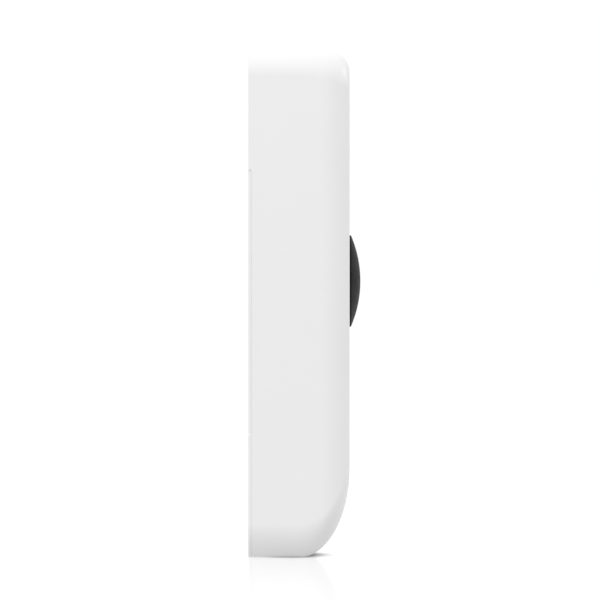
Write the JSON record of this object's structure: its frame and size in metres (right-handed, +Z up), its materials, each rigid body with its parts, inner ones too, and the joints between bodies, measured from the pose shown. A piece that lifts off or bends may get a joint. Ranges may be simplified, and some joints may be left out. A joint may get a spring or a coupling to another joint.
{
  "type": "video doorbell",
  "caption": "White video doorbell: a tall rounded shell with a dark camera dome and a round bell button, hung on a slim wall bracket.",
  "frame": {"origin": "centre of the bracket's face that lies on the wall, halfway up the shell", "axes": "+Z up, -Y towards the visitor, +Y into the wall, X across the width"},
  "size_m": [0.048, 0.0302, 0.138],
  "materials": {
    "white_plastic": "satin, fine moulded texture",
    "grey_plastic": "matt, moulded",
    "black_plastic": "matt",
    "smoked_dome": "smooth smoked plastic, gloss",
    "steel": "plated",
    "brass": "bright",
    "rubber": "matt",
    "circuit_board": "green solder mask over glass-fibre board",
    "lens_glass": "coated, clear",
    "filter_glass": "coated, reddish",
    "light_diffuser": "milky, diffusing",
    "copper": "copper",
    "capacitor_sleeve": "shrunk plastic sleeve"
  },
  "bodies": {
    "bracket": {"mounting_bracket": "white_plastic"},
    "unit": {"back_cover": "grey_plastic", "board_screw_1": "steel", "board_screw_2": "steel", "board_screw_3": "steel", "board_screw_4": "steel", "button_board": "circuit_board", "button_cable": "black_plastic", "button_switch": "black_plastic", "camera_board": "circuit_board", "camera_dome": "smoked_dome", "camera_screw_1": "steel", "camera_screw_2": "steel", "cover_gasket": "rubber", "cover_screw_1": "steel", "cover_screw_2": "steel", "cover_screw_3": "steel", "cover_screw_4": "steel", "dome_gasket": "rubber", "dome_retainer": "black_plastic", "filter_coil": "copper", "front_lens": "lens_glass", "front_shell": "white_plastic", "hold_up_capacitor_1": "capacitor_sleeve", "hold_up_capacitor_2": "capacitor_sleeve", "image_sensor": "black_plastic", "ir_led_board": "circuit_board", "lens_barrel": "black_plastic", "lens_holder": "black_plastic", "light_baffle": "rubber", "light_ring": "light_diffuser", "main_board": "circuit_board", "microphone_boot": "rubber", "pir_sensor": "steel", "pir_window": "light_diffuser", "power_inductor": "black_plastic", "processor_shield": "steel", "radio_antenna": "copper", "rear_lens": "lens_glass", "security_screw": "steel", "sensor_board": "circuit_board", "speaker_frame": "black_plastic", "speaker_gasket": "rubber", "speaker_magnet": "steel", "terminal_1": "brass", "terminal_2": "brass", "terminal_screw_1": "brass", "terminal_screw_2": "brass"},
    "bell_button": {"button_cap": "white_plastic", "switch_plunger": "black_plastic"},
    "reset_key": {"reset_button": "black_plastic"},
    "filter_slide": {"filter_frame": "black_plastic", "ir_cut_glass": "filter_glass", "clear_glass": "lens_glass"},
    "filter_arm": {"filter_rotor": "steel"},
    "speaker_moving": {"speaker_cone": "grey_plastic", "speaker_coil": "copper"}
  },
  "joints": [
    {"name": "unit_swing", "type": "hinge", "parent": "bracket", "child": "unit", "pos_m": [0, -0.0029, 0.0658], "axis": [-1, 0, 0], "range_deg": [0, 5]},
    {"name": "bell_press", "type": "slide", "parent": "unit", "child": "bell_button", "axis": [0, 1, 0], "range_m": [0, 0.0006], "stiffness_N_per_m": 2500, "springref_m": -0.0002},
    {"name": "reset_press", "type": "slide", "parent": "unit", "child": "reset_key", "axis": [0, -1, 0], "range_m": [0, 0.0004], "stiffness_N_per_m": 1500, "springref_m": -0.0002},
    {"name": "filter_turn", "type": "hinge", "parent": "unit", "child": "filter_arm", "pos_m": [0, -0.0175, 0.0172], "axis": [0, 1, 0], "range_deg": [0, 45]},
    {"name": "filter_shift", "type": "slide", "parent": "unit", "child": "filter_slide", "axis": [-1, 0, 0], "range_m": [0, 0.0052]},
    {"name": "cone_travel", "type": "slide", "parent": "unit", "child": "speaker_moving", "axis": [0, 0, 1], "range_m": [-0.0003, 0.0003], "stiffness_N_per_m": 400}
  ],
  "couplings": [
    {"joint": "filter_turn", "follows": "filter_shift", "rad_per_m": 151.03}
  ]
}
